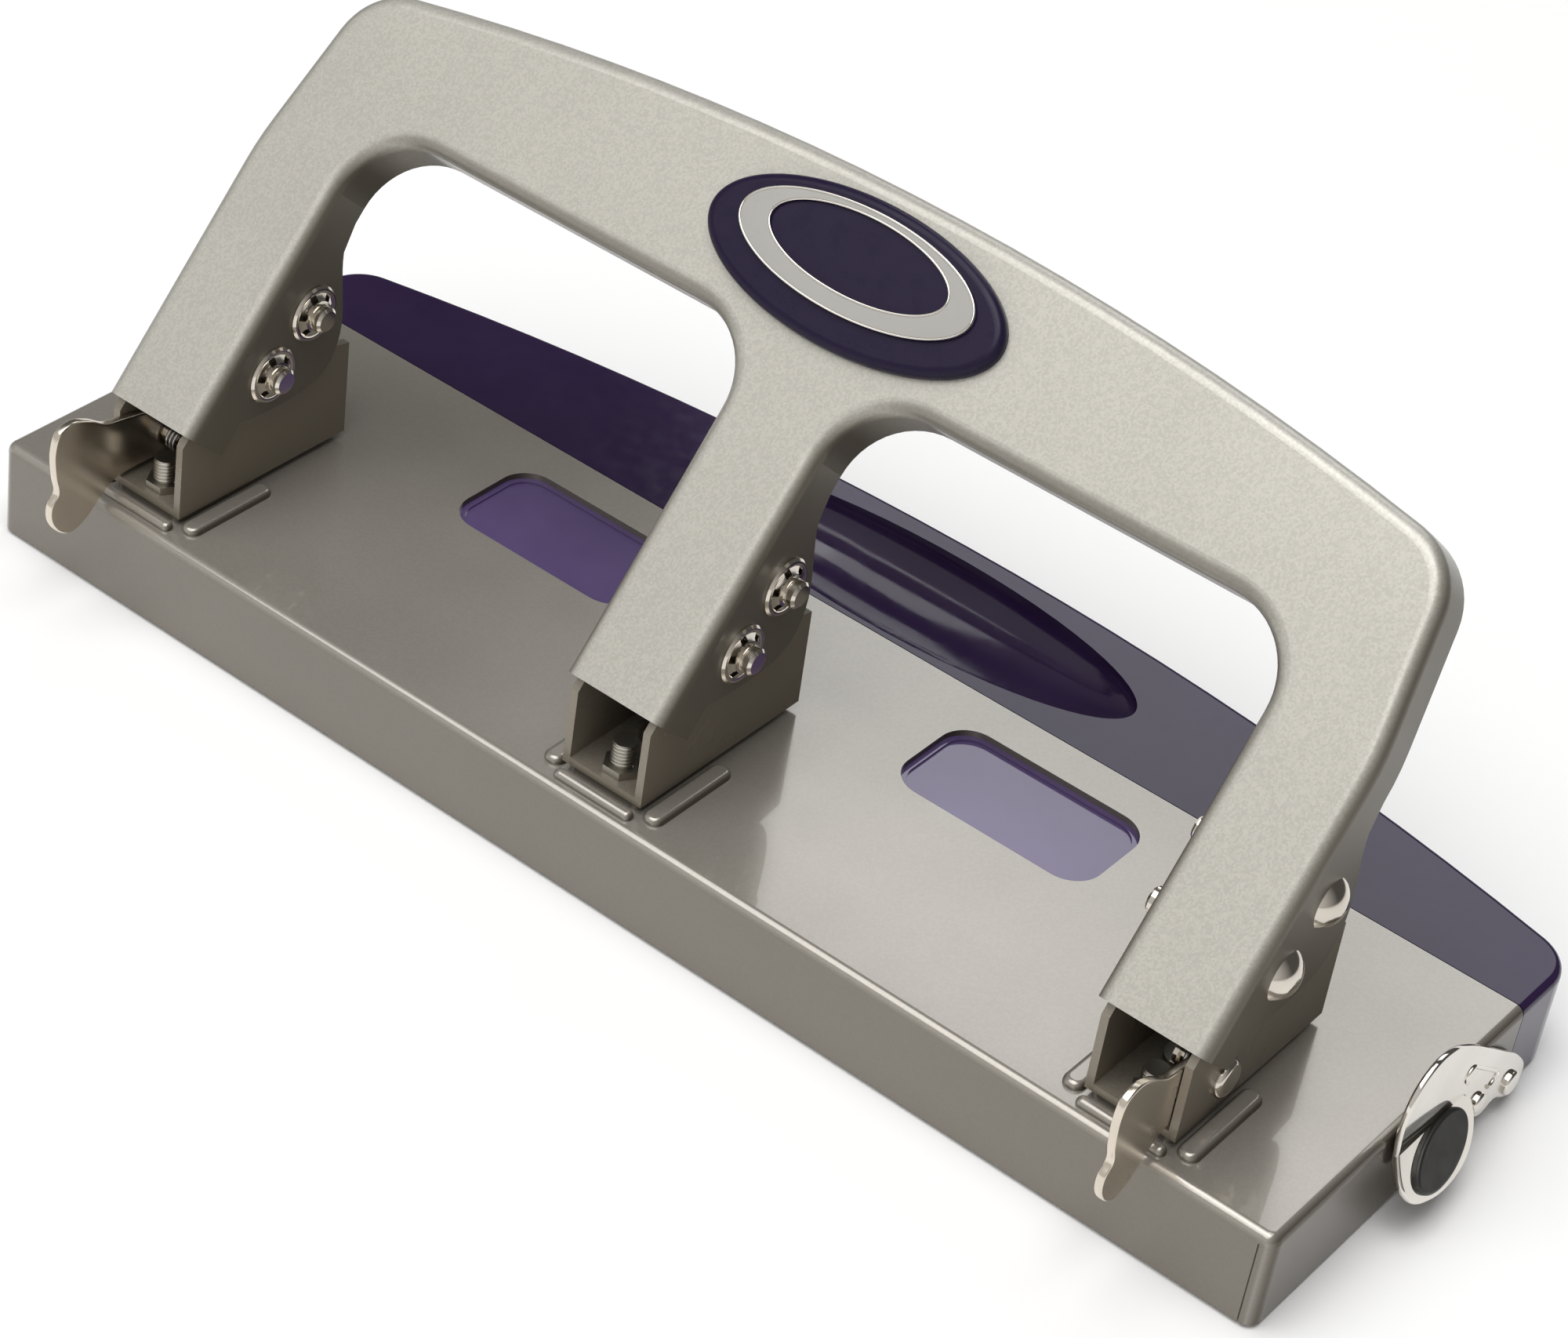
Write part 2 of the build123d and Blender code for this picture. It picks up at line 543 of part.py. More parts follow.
def chip_drawer():
    """Moulded drawer: a hollow bowed front with a finger scoop, and the chip pan behind it."""
    outline = drawer_front_outline()
    outer = extrude(Pos(0, 0, DRAWER_BOTTOM) * outline, PLATE_Z - DRAWER_BOTTOM)
    rim = [e for e in outer.faces().sort_by(Axis.Z)[-1].edges() if e.center().Y > DRAWER_BACK + 0.1]
    rounded = fillet(rim, 1.6)
    depth = PLATE_Z - DRAWER_WALL - DRAWER_BOTTOM + 1
    hollow = extrude(Pos(0, 0, DRAWER_BOTTOM - 1) * offset(outline, -DRAWER_WALL), depth)
    front = rounded - hollow
    front += ellipsoid(1.8) & outer
    front -= ellipsoid(0)
    pan = rounded_prism(-PAN_HALF, PAN_HALF, PAN_FRONT, DRAWER_BACK + 6, PAN_BOTTOM, PAN_TOP, 4)
    pan &= block(-HALF, HALF, PAN_FRONT - 1, DRAWER_BACK + 0.5, 0, PLATE_Z)
    inside = rounded_prism(-PAN_HALF + 1.8, PAN_HALF - 1.8, PAN_FRONT + 1.8, DRAWER_BACK + 6,
                           PAN_BOTTOM + 1.6, PAN_TOP + 1, 3)
    inside &= block(-HALF, HALF, PAN_FRONT - 1, DRAWER_BACK, 0, PLATE_Z)
    return front + (pan - inside)


# ---- pull-out paper guide -----------------------------------------------
GUIDE_X = HALF + 0.6
GUIDE_SHEET = 1.2
GUIDE_OUTLINE = [
    (36.4, 10.0), (34.0, 16.0), (33.4, 22.0), (35.6, 27.8), (40.0, 30.6), (45.0, 30.4), (52.0, 27.0), (60.5, 21.0),
    (68.0, 15.4), (75.0, 10.0), (78.6, 5.4), (77.6, 1.8), (73.6, 1.6), (69.0, 4.0), (64.5, 3.4), (59.0, 6.6),
    (54.0, 8.0), (45.0, 9.0)]
TAB_OUTLINE = [
    (36.0, -3.0), (33.6, 1.0), (33.0, 4.6), (34.6, 7.6), (38.6, 9.3), (44.0, 9.9), (50.4, 8.6), (54.8, 5.2),
    (56.2, 0.6), (52.0, -3.0), (44.0, -3.6)]
TAB_SLOPE = 32.6                    # the thumb tab leans out from upright
TAB_PLANE = Plane(origin=(GUIDE_X + GUIDE_SHEET + 0.5, FRONT, PAD_GAP + 14.0), x_dir=(0, 1, 0),
                  z_dir=(cos(radians(TAB_SLOPE)), 0, sin(radians(TAB_SLOPE))))
THUMB_PAD = (44.6, 3.7, 8.8, 4.5)   # place along Y, down the tab, and the two half sizes
THUMB_PAD_TURN = 16.0
THUMB_PAD_HEIGHT = 0.9
SLOT_CENTRE = (60.0, 15.2)
SLOT_LENGTH = 15.0
SLOT_ANGLE = -37.0


def smooth_face(points):
    """Face inside a smooth closed curve."""
    return make_face(Wire(Spline(*points, periodic=True)))


def paper_guide():
    """Chromed end guide: a fin, a thumb tab that leans out, and a tongue that slides in the base."""
    outline = smooth_face([(FRONT + y, PAD_GAP + z) for y, z in GUIDE_OUTLINE])
    guide = extrude(Plane.YZ.offset(GUIDE_X) * outline, GUIDE_SHEET)
    centre = Pos(FRONT + SLOT_CENTRE[0], PAD_GAP + SLOT_CENTRE[1])
    slot = centre * Rot(0, 0, SLOT_ANGLE) * SlotOverall(SLOT_LENGTH, 3.0)
    guide -= extrude(Plane.YZ.offset(GUIDE_X + GUIDE_SHEET - 0.7) * slot, 3)
    tab = extrude(TAB_PLANE * smooth_face([(y, -drop) for y, drop in TAB_OUTLINE]), -GUIDE_SHEET)
    guide += tab - block(0, GUIDE_X, FRONT, REAR, 0, PLATE_Z + 20)
    tongue = rounded_prism(GUIDE_X - 46, GUIDE_X + GUIDE_SHEET - 0.2, *TONGUE_Y, *TONGUE_Z, 2)
    return guide + tongue


def guide_thumb_pad():
    """Dark oval pad on the thumb tab."""
    y, drop, half_length, half_height = THUMB_PAD
    oval = Pos(y, -drop) * Rot(0, 0, THUMB_PAD_TURN) * Ellipse(half_length, half_height)
    pad = extrude(TAB_PLANE * oval, THUMB_PAD_HEIGHT)
    return fillet(pad.edges().sort_by(lambda e: TAB_PLANE.to_local_coords(e.center()).Z)[-1], 0.6)


def guide_rivets():
    """Two low rivets on the fin."""
    start = GUIDE_X + GUIDE_SHEET
    spots = ((FRONT + 61.5, PAD_GAP + 8.6, 1.9), (FRONT + 73.4, PAD_GAP + 5.2, 2.3))
    return Compound(children=[
        fillet(bar(y, z, start, start + 0.9, radius).edges().sort_by(Axis.X)[-1], 0.6) for y, z, radius in spots])


CLIP_X = (116.0, 127.0)


def paper_guide_clip():
    """Strap under the plate that the tongue slides in."""
    top = PLATE_Z - BASE_SHEET
    y0, y1 = TONGUE_Y
    clip = block(*CLIP_X, y0 - 7, y1 + 7, top - 1.0, top)
    clip += block(*CLIP_X, y0 - 1.3, y1 + 1.3, TONGUE_Z[0] - 1.0, top - 0.5)
    return clip - block(CLIP_X[0] - 1, CLIP_X[1] + 1, y0 - 0.3, y1 + 0.3, TONGUE_Z[0] - 0.1, TONGUE_Z[1] + 0.3)


def clip_rivets():
    """Rivet heads under the ends of the strap."""
    top = PLATE_Z - BASE_SHEET - 1.0
    x = sum(CLIP_X) / 2
    return Compound(children=[post(x, y, top - 0.8, top, 1.8) for y in (TONGUE_Y[0] - 4.2, TONGUE_Y[1] + 4.2)])


# ---- write every sub-part -----------------------------------------------
write(base_cover(), "base_cover")
write(base_floor(), "base_floor")
write(rubber_base_pad(), "rubber_base_pad")
write(floor_posts(), "floor_posts")
write(floor_screws(), "floor_screws")
write(head_studs(), "head_studs")
write(head_nuts(), "head_nuts")
write(head_rivets(), "head_rivets")
for name, x in HEADS.items():
    write(head_housing(x), f"head_housing_{name}")
    write(guide_bridge(x), f"guide_bridge_{name}")
    write(die(x), f"die_{name}")
    write(punch_pin(x), f"punch_pin_{name}")
    write(spring_collar(x), f"spring_collar_{name}")
    write(punch_spring(x), f"punch_spring_{name}")
    write(leg_pin(name, PIVOT), f"pivot_pin_{name}")
    write(leg_pin(name, DRIVE), f"drive_pin_{name}")
write(push_nuts(PIVOT), "pivot_push_nuts")
write(push_nuts(DRIVE), "drive_push_nuts")
write(handle(), "handle")
write(badge_base(), "badge_base")
write(badge_ring(), "badge_ring")
write(badge_centre(), "badge_centre")
for name, side in OUTER_HEADS.items():
    write(lock_lever(name), f"lock_lever_{name}")
    write(lock_spring(name), f"lock_spring_{name}")
    write(window_panel(side), f"window_{name}")
write(lock_rivets(), "lock_rivets")
write(chip_drawer(), "chip_drawer")
write(paper_guide(), "paper_guide")
write(guide_rivets(), "guide_rivets")
write(guide_thumb_pad(), "guide_thumb_pad")
write(paper_guide_clip(), "paper_guide_clip")
write(clip_rivets(), "clip_rivets")
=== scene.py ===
import json
from math import cos, pi, radians, sin, tau

import bmesh
import bpy
from mathutils import Matrix, Vector

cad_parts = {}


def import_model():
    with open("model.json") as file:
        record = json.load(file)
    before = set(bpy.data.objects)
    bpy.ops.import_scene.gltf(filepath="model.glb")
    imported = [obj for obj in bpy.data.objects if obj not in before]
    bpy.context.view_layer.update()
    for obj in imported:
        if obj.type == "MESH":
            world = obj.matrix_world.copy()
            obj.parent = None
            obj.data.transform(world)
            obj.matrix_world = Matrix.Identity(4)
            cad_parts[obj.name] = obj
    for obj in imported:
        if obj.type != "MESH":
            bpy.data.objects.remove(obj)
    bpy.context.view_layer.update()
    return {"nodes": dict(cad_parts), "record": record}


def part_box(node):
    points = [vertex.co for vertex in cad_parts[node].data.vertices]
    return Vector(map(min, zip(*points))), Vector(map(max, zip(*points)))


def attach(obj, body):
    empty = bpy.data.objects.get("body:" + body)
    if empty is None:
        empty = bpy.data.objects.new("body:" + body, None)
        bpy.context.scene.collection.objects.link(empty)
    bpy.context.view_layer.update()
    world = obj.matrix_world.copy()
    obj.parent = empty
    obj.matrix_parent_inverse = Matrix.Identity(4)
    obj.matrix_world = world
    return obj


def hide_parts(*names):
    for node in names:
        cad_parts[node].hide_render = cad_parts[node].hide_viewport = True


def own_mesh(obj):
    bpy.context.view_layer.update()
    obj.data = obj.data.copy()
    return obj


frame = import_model()

# The part's joints, read from the frame.
JOINTS = {joint["name"]: joint for joint in frame["record"]["behaviour"]["joints"]}
HEAD_NAMES = ("left", "middle", "right")
SIDE_NAMES = ("left", "right")

# Directions and places that several pieces share, in metres.
X_AXIS = Vector((1, 0, 0))
Y_AXIS = Vector((0, 1, 0))
Z_AXIS = Vector((0, 0, 1))
FRONT = -0.03785                     # edge of the base away from the paper
PAD_GAP = 0.0008                     # rubber pad below the edge of the base


def corners(node_name):
    """Lowest and highest corner of a CAD node's box."""
    low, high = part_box(node_name)
    return Vector(low), Vector(high)


def middle(node_name):
    """Middle of a CAD node's box."""
    low, high = corners(node_name)
    return (low + high) / 2


# ---- material building ---------------------------------------------------
NOISE_ROUGHNESS = 0.55
FLAKE_SCALE = 2600.0                 # flakes in a metre
FACE_DRIFT = 0.96                    # the paint's darker tone, as a share of the face tone
PAINT_SPECULAR = 0.35
WALL_COAT = 0.15                     # share of the clear coat left on end walls
LONG_WALL_PAINTED_SHADE = 0.60               # share of the painted shading on the long walls
MOULDED_COAT_ROUGHNESS = 0.05

# How much of a face's direction lies along X, or along Y, where its painted shading starts and where it is
# full.
END_WALL_TURN = (0.25, 0.9)
LONG_WALL_TURN = (0.85, 0.98)


def new_material(name):
    """A material, its node tree and its shader."""
    material = bpy.data.materials.new(name)
    material.use_nodes = True
    shader = material.node_tree.nodes["Principled BSDF"]
    return material, material.node_tree, shader


def object_coords(tree):
    """Coordinates that stay with the piece."""
    return tree.nodes.new("ShaderNodeTexCoord").outputs["Object"]


def noise(tree, vector, scale, detail):
    """Noise between 0 and 1; the scale is about the number of blotches in a metre."""
    made = tree.nodes.new("ShaderNodeTexNoise")
    made.inputs["Scale"].default_value = scale
    made.inputs["Detail"].default_value = detail
    made.inputs["Roughness"].default_value = NOISE_ROUGHNESS
    tree.links.new(vector, made.inputs["Vector"])
    return made.outputs["Fac"]


def ramp(tree, value, stops):
    """Colour ramp of (position, colour) stops."""
    made = tree.nodes.new("ShaderNodeValToRGB")
    elements = made.color_ramp.elements
    while len(elements) < len(stops):
        elements.new(0.5)
    for element, (position, colour) in zip(elements, stops):
        element.position = position
        element.color = (*colour, 1)
    tree.links.new(value, made.inputs["Fac"])
    return made.outputs["Color"]


def spread(tree, value, low, high, from_low=0.3, from_high=0.7):
    """Maps a value between two limits to a range of numbers."""
    made = tree.nodes.new("ShaderNodeMapRange")
    made.inputs["From Min"].default_value = from_low
    made.inputs["From Max"].default_value = from_high
    made.inputs["To Min"].default_value = low
    made.inputs["To Max"].default_value = high
    tree.links.new(value, made.inputs["Value"])
    return made.outputs["Result"]


def blend_colours(tree, factor, first, second, mode="MIX"):
    """Mixes two colours. The factor is a number or an output, and the second may be a plain colour."""
    made = tree.nodes.new("ShaderNodeMix")
    made.data_type = "RGBA"
    made.blend_type = mode
    if isinstance(factor, float):
        made.inputs["Factor"].default_value = factor
    else:
        tree.links.new(factor, made.inputs["Factor"])
    targets = [socket for socket in made.inputs if socket.type == "RGBA"]
    tree.links.new(first, targets[0])
    if isinstance(second, tuple):
        targets[1].default_value = (*second, 1)
    else:
        tree.links.new(second, targets[1])
    return [socket for socket in made.outputs if socket.type == "RGBA"][0]


def bump(tree, shader, height, distance, into="Normal"):
    """Bumps the shader's surface, or its clear coat, by up to a distance in metres."""
    made = tree.nodes.new("ShaderNodeBump")
    made.inputs["Distance"].default_value = distance
    made.inputs["Strength"].default_value = 1.0
    tree.links.new(height, made.inputs["Height"])
    tree.links.new(made.outputs["Normal"], shader.inputs[into])


def set_shader(shader, **values):
    """Sets constant values on the shader's own sockets, named with _ for each space."""
    for key, value in values.items():
        shader.inputs[key.replace("_", " ")].default_value = value


def size_of(tree, value):
    """A number without its sign."""
    made = tree.nodes.new("ShaderNodeMath")
    made.operation = "ABSOLUTE"
    tree.links.new(value, made.inputs[0])
    return made.outputs["Value"]


def painted_shade_mask(tree):
    """Painted shading mask: 0 on faces that look up, 1 on walls that face the right or left end, less on the
    long walls.
    """
    coords = tree.nodes.new("ShaderNodeTexCoord")
    parts = tree.nodes.new("ShaderNodeSeparateXYZ")
    tree.links.new(coords.outputs["Normal"], parts.inputs["Vector"])
    ends = spread(tree, size_of(tree, parts.outputs["X"]), 0.0, 1.0, *END_WALL_TURN)
    long_walls = spread(tree, size_of(tree, parts.outputs["Y"]), 0.0, LONG_WALL_PAINTED_SHADE, *LONG_WALL_TURN)
    most = tree.nodes.new("ShaderNodeMath")
    most.operation = "MAXIMUM"
    tree.links.new(ends, most.inputs[0])
    tree.links.new(long_walls, most.inputs[1])
    return most.outputs["Value"]


def flake_paint(name, face, painted_shade_colour, sparkle, metallic, roughness, coat, coat_roughness, peel):
    """Metallic paint with a clear coat: fine flakes, slow drift in tone, and painted shading, a darker colour
    on walls in place of the light they miss.
    """
    material, tree, shader = new_material(name)
    coords = object_coords(tree)
    drift = noise(tree, coords, scale=22.0, detail=2.0)
    dim = tuple(FACE_DRIFT * channel for channel in face)
    tone = ramp(tree, drift, [(0.35, dim), (0.65, face)])
    cells = tree.nodes.new("ShaderNodeTexVoronoi")
    cells.inputs["Scale"].default_value = FLAKE_SCALE
    tree.links.new(coords, cells.inputs["Vector"])
    grey = tree.nodes.new("ShaderNodeRGBToBW")
    tree.links.new(cells.outputs["Color"], grey.inputs["Color"])
    grey_dim = (0.5 - sparkle,) * 3
    grey_bright = (0.5 + sparkle,) * 3
    flakes = ramp(tree, grey.outputs["Val"], [(0.25, grey_dim), (0.75, grey_bright)])
    colour = blend_colours(tree, 1.0, tone, flakes, "OVERLAY")
    # Painted shading: walls take a darker colour in place of the light they miss; the same mask thins the
    # clear coat.
    painted_shade_share = painted_shade_mask(tree)
    colour = blend_colours(tree, painted_shade_share, colour, painted_shade_colour)
    tree.links.new(colour, shader.inputs["Base Color"])
    rough = spread(tree, noise(tree, coords, scale=60.0, detail=2.0), roughness - 0.02, roughness + 0.03)
    tree.links.new(rough, shader.inputs["Roughness"])
    broad = noise(tree, coords, scale=170.0, detail=1.0)
    bump(tree, shader, broad, peel, into="Coat Normal")
    tree.links.new(spread(tree, painted_shade_share, coat, WALL_COAT * coat, 0.0, 1.0), shader.inputs["Coat Weight"])
    set_shader(shader, Metallic=metallic, Coat_Roughness=coat_roughness, Specular_IOR_Level=PAINT_SPECULAR)
    return material


def plated(name, dark, light, roughness, ripple=0.000002):
    """Plated or polished metal with faint cloudiness in its colour and shine, and a slight ripple."""
    material, tree, shader = new_material(name)
    coords = object_coords(tree)
    cloud = noise(tree, coords, scale=90.0, detail=3.0)
    tree.links.new(ramp(tree, cloud, [(0.3, dark), (0.7, light)]), shader.inputs["Base Color"])
    haze = noise(tree, coords, scale=55.0, detail=3.0)
    tree.links.new(spread(tree, haze, roughness * 0.85, roughness * 1.25), shader.inputs["Roughness"])
    bump(tree, shader, noise(tree, coords, scale=140.0, detail=1.0), ripple)
    set_shader(shader, Metallic=1.0)
    return material


def moulded(name, dark, light, roughness, grain, coat=0.0, specular=0.5):
    """Moulded plastic with slight tone drift and a fine surface texture."""
    material, tree, shader = new_material(name)
    coords = object_coords(tree)
    drift = noise(tree, coords, scale=40.0, detail=4.0)
    tree.links.new(ramp(tree, drift, [(0.3, dark), (0.7, light)]), shader.inputs["Base Color"])
    haze = noise(tree, coords, scale=300.0, detail=3.0)
    tree.links.new(spread(tree, haze, roughness * 0.75, roughness * 1.3), shader.inputs["Roughness"])
    bump(tree, shader, noise(tree, coords, scale=1300.0, detail=2.0), grain)
    set_shader(shader, Coat_Weight=coat, Coat_Roughness=MOULDED_COAT_ROUGHNESS, Specular_IOR_Level=specular)
    return material


# Each paint's second colour is painted shading, the darker colour that its walls take in place of the light
# they miss.
HANDLE_PAINT = flake_paint(
    "handle_paint", face=(0.47, 0.455, 0.41), painted_shade_colour=(0.125, 0.11, 0.084), sparkle=0.035, metallic=0.35,
    roughness=0.36, coat=0.30, coat_roughness=0.12, peel=0.000004)
BASE_PAINT = flake_paint(
    "base_paint", face=(0.335, 0.312, 0.275), painted_shade_colour=(0.095, 0.078, 0.058), sparkle=0.015, metallic=0.45,
    roughness=0.20, coat=1.0, coat_roughness=0.015, peel=0.000003)
HEAD_PAINT = flake_paint(
    "head_paint", face=(0.27, 0.24, 0.195), painted_shade_colour=(0.20, 0.172, 0.132), sparkle=0.03, metallic=0.40,
    roughness=0.28, coat=0.8, coat_roughness=0.05, peel=0.000003)
NICKEL = plated("nickel_plate", (0.62, 0.57, 0.50), (0.74, 0.69, 0.62), roughness=0.12)
LEVER_NICKEL = plated("lever_nickel", (0.66, 0.59, 0.50), (0.78, 0.71, 0.61), roughness=0.22)
CHROME = plated("chrome_plate", (0.70, 0.665, 0.61), (0.78, 0.745, 0.69), roughness=0.06, ripple=0.000001)
ZINC = plated("zinc_steel", (0.36, 0.34, 0.30), (0.46, 0.44, 0.39), roughness=0.30, ripple=0.000004)
SPRING = plated("spring_steel", (0.42, 0.41, 0.40), (0.55, 0.54, 0.53), roughness=0.22)
TOOL = plated("tool_steel", (0.36, 0.36, 0.37), (0.46, 0.46, 0.47), roughness=0.26, ripple=0.000004)
INDIGO = moulded(
    "indigo_plastic", (0.020, 0.009, 0.040), (0.027, 0.014, 0.052),
    roughness=0.12, grain=0.000002, specular=0.42)
BADGE_INK = moulded(
    "badge_indigo", (0.012, 0.007, 0.026), (0.014, 0.008, 0.030),
    roughness=0.30, grain=0.000001, specular=0.18)
RING = moulded(
    "bright_ring", (0.34, 0.33, 0.31), (0.37, 0.36, 0.34), roughness=0.35, grain=0.000002, specular=0.35)
WINDOW = moulded(
    "violet_window", (0.085, 0.056, 0.150), (0.11, 0.075, 0.19), roughness=0.09, grain=0.000002, coat=0.8)
RUBBER = moulded(
    "black_rubber", (0.018, 0.018, 0.018), (0.030, 0.030, 0.030), roughness=0.7, grain=0.00004)
# Near-black oval on the guide's thumb tab, far darker than the chrome round it.
DARK_TAB_OVAL = moulded(
    "dark_tab_oval", (0.012, 0.012, 0.010), (0.022, 0.021, 0.018), roughness=0.40, grain=0.00001)

NODE_MATERIALS = {
    "base_cover": BASE_PAINT, "base_floor": ZINC, "rubber_base_pad": RUBBER, "floor_posts": ZINC,
    "floor_screws": ZINC, "head_studs": ZINC, "head_nuts": ZINC, "head_rivets": ZINC, "handle": HANDLE_PAINT,
    "badge_base": BADGE_INK, "badge_ring": RING, "badge_centre": BADGE_INK, "chip_drawer": INDIGO,
    "paper_guide": CHROME, "guide_rivets": CHROME, "guide_thumb_pad": DARK_TAB_OVAL,
    "paper_guide_clip": ZINC, "clip_rivets": ZINC,
    "lock_rivets": NICKEL, "pivot_push_nuts": NICKEL, "drive_push_nuts": NICKEL}
for head in HEAD_NAMES:
    NODE_MATERIALS.update({
        f"head_housing_{head}": HEAD_PAINT, f"guide_bridge_{head}": ZINC, f"die_{head}": TOOL,
        f"punch_pin_{head}": TOOL, f"spring_collar_{head}": SPRING, f"punch_spring_{head}": SPRING,
        f"pivot_pin_{head}": NICKEL, f"drive_pin_{head}": NICKEL})
for side in SIDE_NAMES:
    NODE_MATERIALS.update({
        f"lock_lever_{side}": LEVER_NICKEL, f"lock_spring_{side}": SPRING, f"window_{side}": WINDOW})
for name, material in NODE_MATERIALS.items():
    mesh = frame["nodes"][name].data
    if not mesh.materials:
        mesh.materials.append(None)
    for slot in frame["nodes"][name].material_slots:
        slot.link = "OBJECT"
        slot.material = material


# ---- pieces made here ----------------------------------------------------
def place(name, mesh, material, body, slot_name, *replaced):
    """Puts a mesh in the scene as a piece that rides on a body."""
    piece = bpy.data.objects.new(name, mesh)
    bpy.context.collection.objects.link(piece)
    mesh.materials.append(material)
    for polygon in mesh.polygons:
        polygon.use_smooth = True
    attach(piece, body)
    if replaced:
        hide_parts(*replaced)
    return piece


def wire_mesh(name, path, radius, sides=10):
    """Round wire along a list of points, with capped ends."""
    bm = bmesh.new()
    rings = []
    normal = None
    for index, point in enumerate(path):
        ahead = path[min(index + 1, len(path) - 1)]
        behind = path[max(index - 1, 0)]
        tangent = (ahead - behind).normalized()
        if normal is None:
            normal = tangent.orthogonal().normalized()
        normal = (normal - tangent * normal.dot(tangent)).normalized()
        across = tangent.cross(normal)
        angles = (tau * step / sides for step in range(sides))
        rings.append([bm.verts.new(point + radius * (cos(angle) * normal + sin(angle) * across))
                      for angle in angles])
    for first, second in zip(rings, rings[1:]):
        for step in range(sides):
            after = (step + 1) % sides
            bm.faces.new((first[step], first[after], second[after], second[step]))
    bm.faces.new(list(reversed(rings[0])))
    bm.faces.new(rings[-1])
    bmesh.ops.recalc_face_normals(bm, faces=bm.faces)
    mesh = bpy.data.meshes.new(name)
    bm.to_mesh(mesh)
    bm.free()
    return mesh


POINTS_PER_TURN = 24
SPRING_TURNS = 6.5
SPRING_WIRE = 0.00055                # radius of the wire
SPRING_CLEARANCE = 0.0001
CLOSED_SHARE = 0.10                  # share of the length at each end that is wound close
CLOSED_RISE = 0.35                   # how fast the close turns rise, against 1 for an even coil


def punch_spring(head):
    """Coil return spring round the punch, with closed ends."""
    low, high = corners(f"punch_spring_{head}")
    centre = (low + high) / 2
    radius = (high.x - low.x) / 2 - SPRING_WIRE - SPRING_CLEARANCE
    count = int(SPRING_TURNS * POINTS_PER_TURN)
    height = high.z - low.z - 2 * SPRING_WIRE
    closed_height = CLOSED_SHARE * CLOSED_RISE
    path = []
    for index in range(count + 1):
        share = index / count
        if share < CLOSED_SHARE:
            rise = share * CLOSED_RISE
        elif share > 1 - CLOSED_SHARE:
            rise = 1 - (1 - share) * CLOSED_RISE
        else:
            rise = closed_height + (share - CLOSED_SHARE) / (1 - 2 * CLOSED_SHARE) * (1 - 2 * closed_height)
        angle = tau * SPRING_TURNS * share
        path.append(Vector((centre.x + radius * cos(angle), centre.y + radius * sin(angle),
                            low.z + SPRING_WIRE + rise * height)))
    piece = place(f"return_spring_{head}", wire_mesh(f"return_spring_{head}", path, SPRING_WIRE), SPRING,
                  "base", "spring_steel", f"punch_spring_{head}")
    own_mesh(piece)


for head in HEAD_NAMES:
    punch_spring(head)


# ---- star push nuts --------------------------------------------------------
PIN_TIP = 0.0038                     # bare pin past the leg
RING_STEPS = 48
NUT_RADIUS = 0.0055
NUT_BORE = 0.00252
NUT_SHEET = 0.00045
NUT_CREASE = 40                      # degrees; sharper edges stay crisp
NUT_SIDE = {"left": 1, "middle": 1, "right": -1}   # way from the leg to the tip with the nut, along X

# Profiles of the nut's rim, as (distance inside NUT_RADIUS, height), and collar, as (distance outside
# NUT_BORE, height).
NUT_RIM = [(0.0, 0.0), (0.0, 0.0004), (0.0004, 0.00085), (0.0009, 0.0009), (0.0014, 0.00062),
           (0.0014, 0.00025), (0.0009, 0.0003)]
NUT_COLLAR = [(0.0, 0.00125), (0.0005, 0.00105), (0.0005, 0.0016), (0.0, 0.0017)]

# Teeth: each is cut at three radii, as (radius, half width in radians, height).
NUT_TEETH = 6
FIRST_TOOTH = 0.25                   # turn of the first tooth, in teeth
TOOTH_CUTS = [
    (NUT_RADIUS - 0.0012, 0.36, 0.00030), (0.0034, 0.30, 0.00065), (NUT_BORE + 0.0001, 0.33, 0.00125)]


def add_ring(bm, origin, side, profile):
    """Closed ring round X from a profile of (radius, height) points, height measured away from the leg."""
    loops = []
    for step in range(RING_STEPS):
        angle = tau * step / RING_STEPS
        loops.append([bm.verts.new(origin + Vector((side * high, radius * cos(angle), radius * sin(angle))))
                      for radius, high in profile])
    for first, second in zip(loops, loops[1:] + loops[:1]):
        for i in range(len(profile)):
            j = (i + 1) % len(profile)
            bm.faces.new((first[i], first[j], second[j], second[i]))


def add_tooth(bm, origin, side, angle):
    """One spring tooth of a push nut: it narrows and rises towards the pin."""
    layers = []
    for radius, half_width, high in TOOTH_CUTS:
        layer = []
        for lift in (0, NUT_SHEET):
            for turn in (-half_width, 0.0, half_width):
                around = angle + turn
                layer.append(bm.verts.new(origin + Vector((side * (high + lift), radius * cos(around),
                                                           radius * sin(around)))))
        layers.append(layer)
    order = (0, 1, 2, 5, 4, 3)
    for first, second in zip(layers, layers[1:]):
        for i, j in zip(order, order[1:] + order[:1]):
            bm.faces.new((first[i], first[j], second[j], second[i]))
    for layer in (layers[0], layers[-1]):
        bm.faces.new((layer[0], layer[1], layer[4], layer[3]))
        bm.faces.new((layer[1], layer[2], layer[5], layer[4]))


